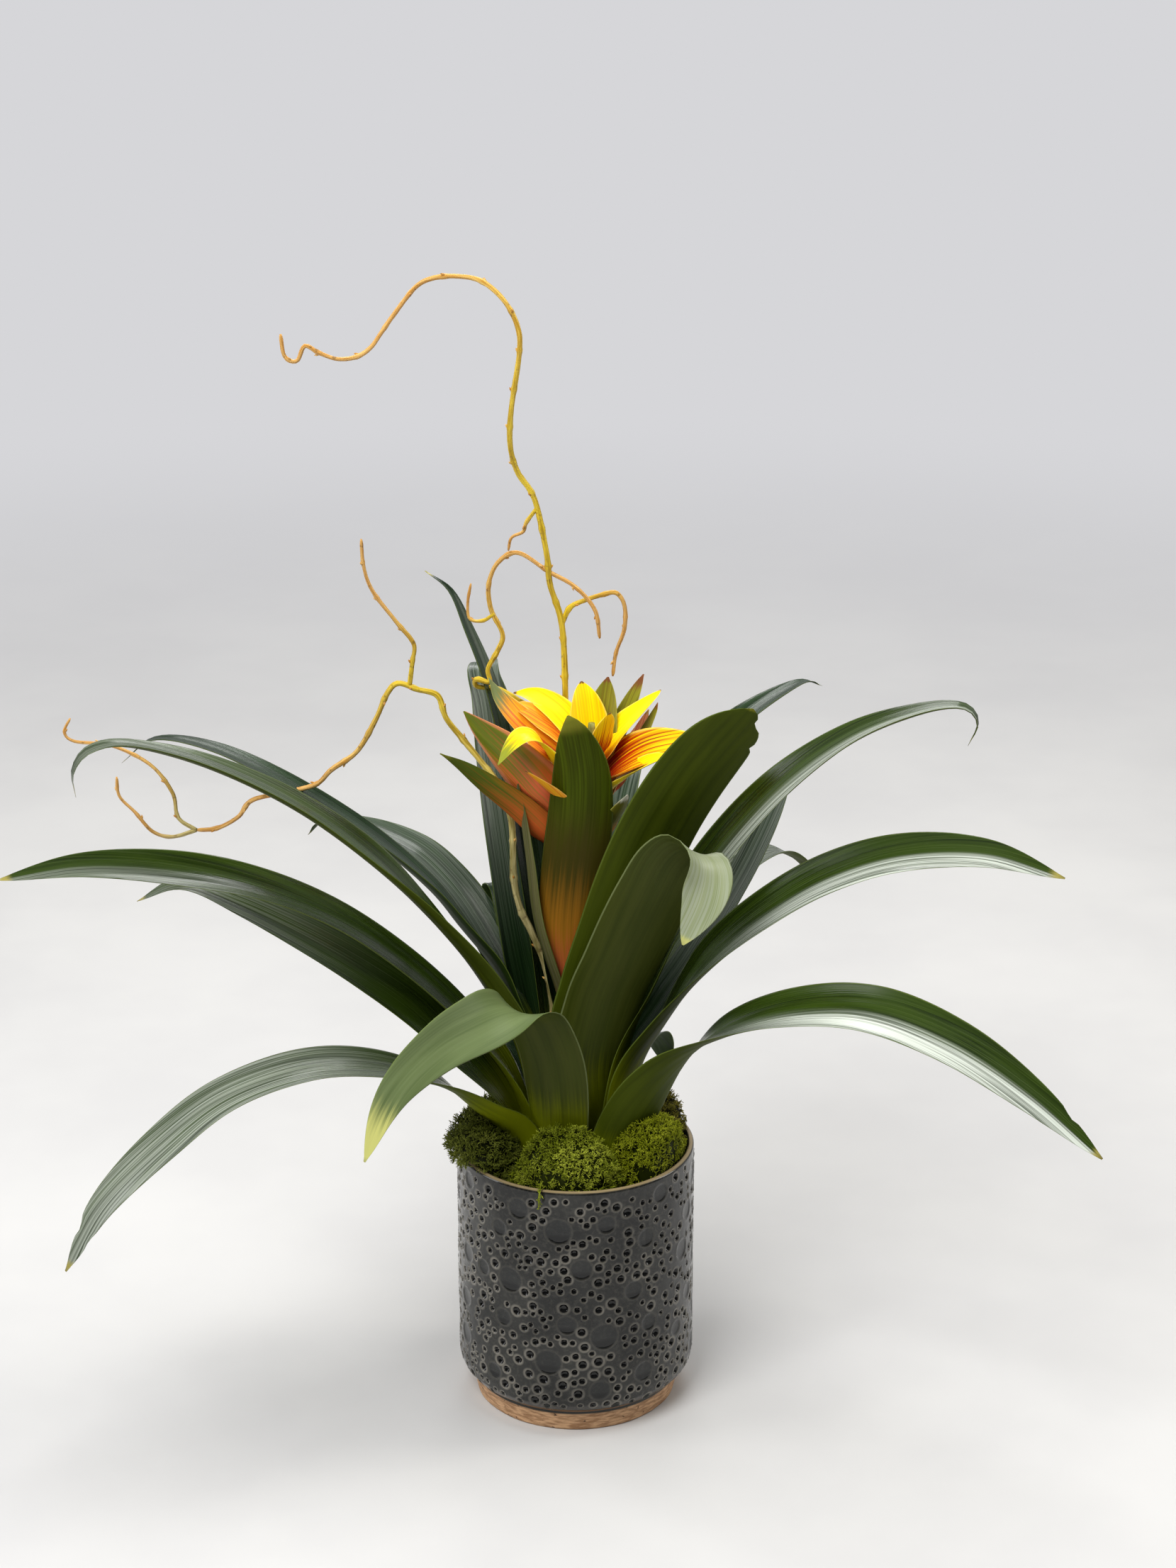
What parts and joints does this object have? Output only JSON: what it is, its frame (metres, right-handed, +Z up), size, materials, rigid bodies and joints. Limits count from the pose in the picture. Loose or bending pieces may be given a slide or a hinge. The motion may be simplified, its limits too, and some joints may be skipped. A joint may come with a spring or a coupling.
{
  "type": "potted bromeliad",
  "caption": "Flowering bromeliad with arching strap leaves, a yellow bract head and curly willow twigs in a glazed pot with moss.",
  "frame": {"origin": "middle of the pot's underside, on the floor", "axes": "+Z up, -Y towards the viewer of the picture, +X to the right"},
  "size_m": [0.6387, 0.4609, 0.7244],
  "materials": {
    "pot_glaze": "gloss, dark grey, with a field of small craters over a bare clay foot",
    "soil": "matt, dark brown",
    "crown": "satin, yellow-green",
    "leaf": "semi-gloss, dark green with fine lengthwise streaks",
    "stalk_leaf": "satin, green shading to rust at the foot",
    "bract_yellow": "satin, yellow with orange streaks",
    "bract_orange": "satin, orange to salmon",
    "bract_green": "satin, green with a salmon foot",
    "willow": "satin, golden bark",
    "moss": "matt, yellow-green tufts"
  },
  "bodies": {
    "root": {"pot": "pot_glaze", "potting_soil": "soil", "crown": "crown", "flower_stalk": "crown", "willow_tall": "willow", "willow_middle": "willow", "willow_left": "willow", "bract_center": "bract_yellow", "bract_streaked": "bract_yellow", "bract_right_up": "bract_yellow", "bract_left_up": "bract_yellow", "bract_back": "bract_orange", "bract_right_long": "bract_yellow", "bract_left_inner": "bract_orange", "bract_left_pointed": "bract_orange", "bract_back_green": "bract_green", "bract_back_brown": "bract_green", "bract_back_left": "bract_orange", "bract_front_left": "bract_yellow", "bract_front_right": "bract_yellow", "bract_right_green": "bract_green", "bract_left_small": "bract_yellow", "bract_front": "bract_orange", "bract_left_green": "bract_green", "bract_right_small": "bract_green", "stalk_leaf_long": "stalk_leaf", "stalk_leaf_front": "stalk_leaf", "stalk_leaf_left": "stalk_leaf", "stalk_leaf_back": "stalk_leaf", "leaf_back_tall": "leaf", "leaf_right_torn": "leaf", "leaf_back_arched": "leaf", "leaf_right_curled": "leaf", "leaf_left_back": "leaf", "leaf_right_arched": "leaf", "leaf_left_arched": "leaf", "leaf_left_bent": "leaf", "leaf_right_folded": "leaf", "leaf_left_long": "leaf", "leaf_right_back": "leaf", "leaf_back_bent": "leaf", "leaf_back_right": "leaf", "leaf_left_under": "leaf", "leaf_front_folded": "leaf", "leaf_right_long": "leaf", "leaf_right_drooping": "leaf", "leaf_back_left": "leaf", "leaf_left_drooping": "leaf", "leaf_right_low": "leaf", "leaf_back_low": "leaf", "leaf_back_low_left": "leaf", "leaf_back_low_right": "leaf", "moss_left": "moss", "moss_front": "moss", "moss_right": "moss", "moss_back_right": "moss", "moss_back": "moss", "moss_back_left": "moss"}
  },
  "joints": []
}
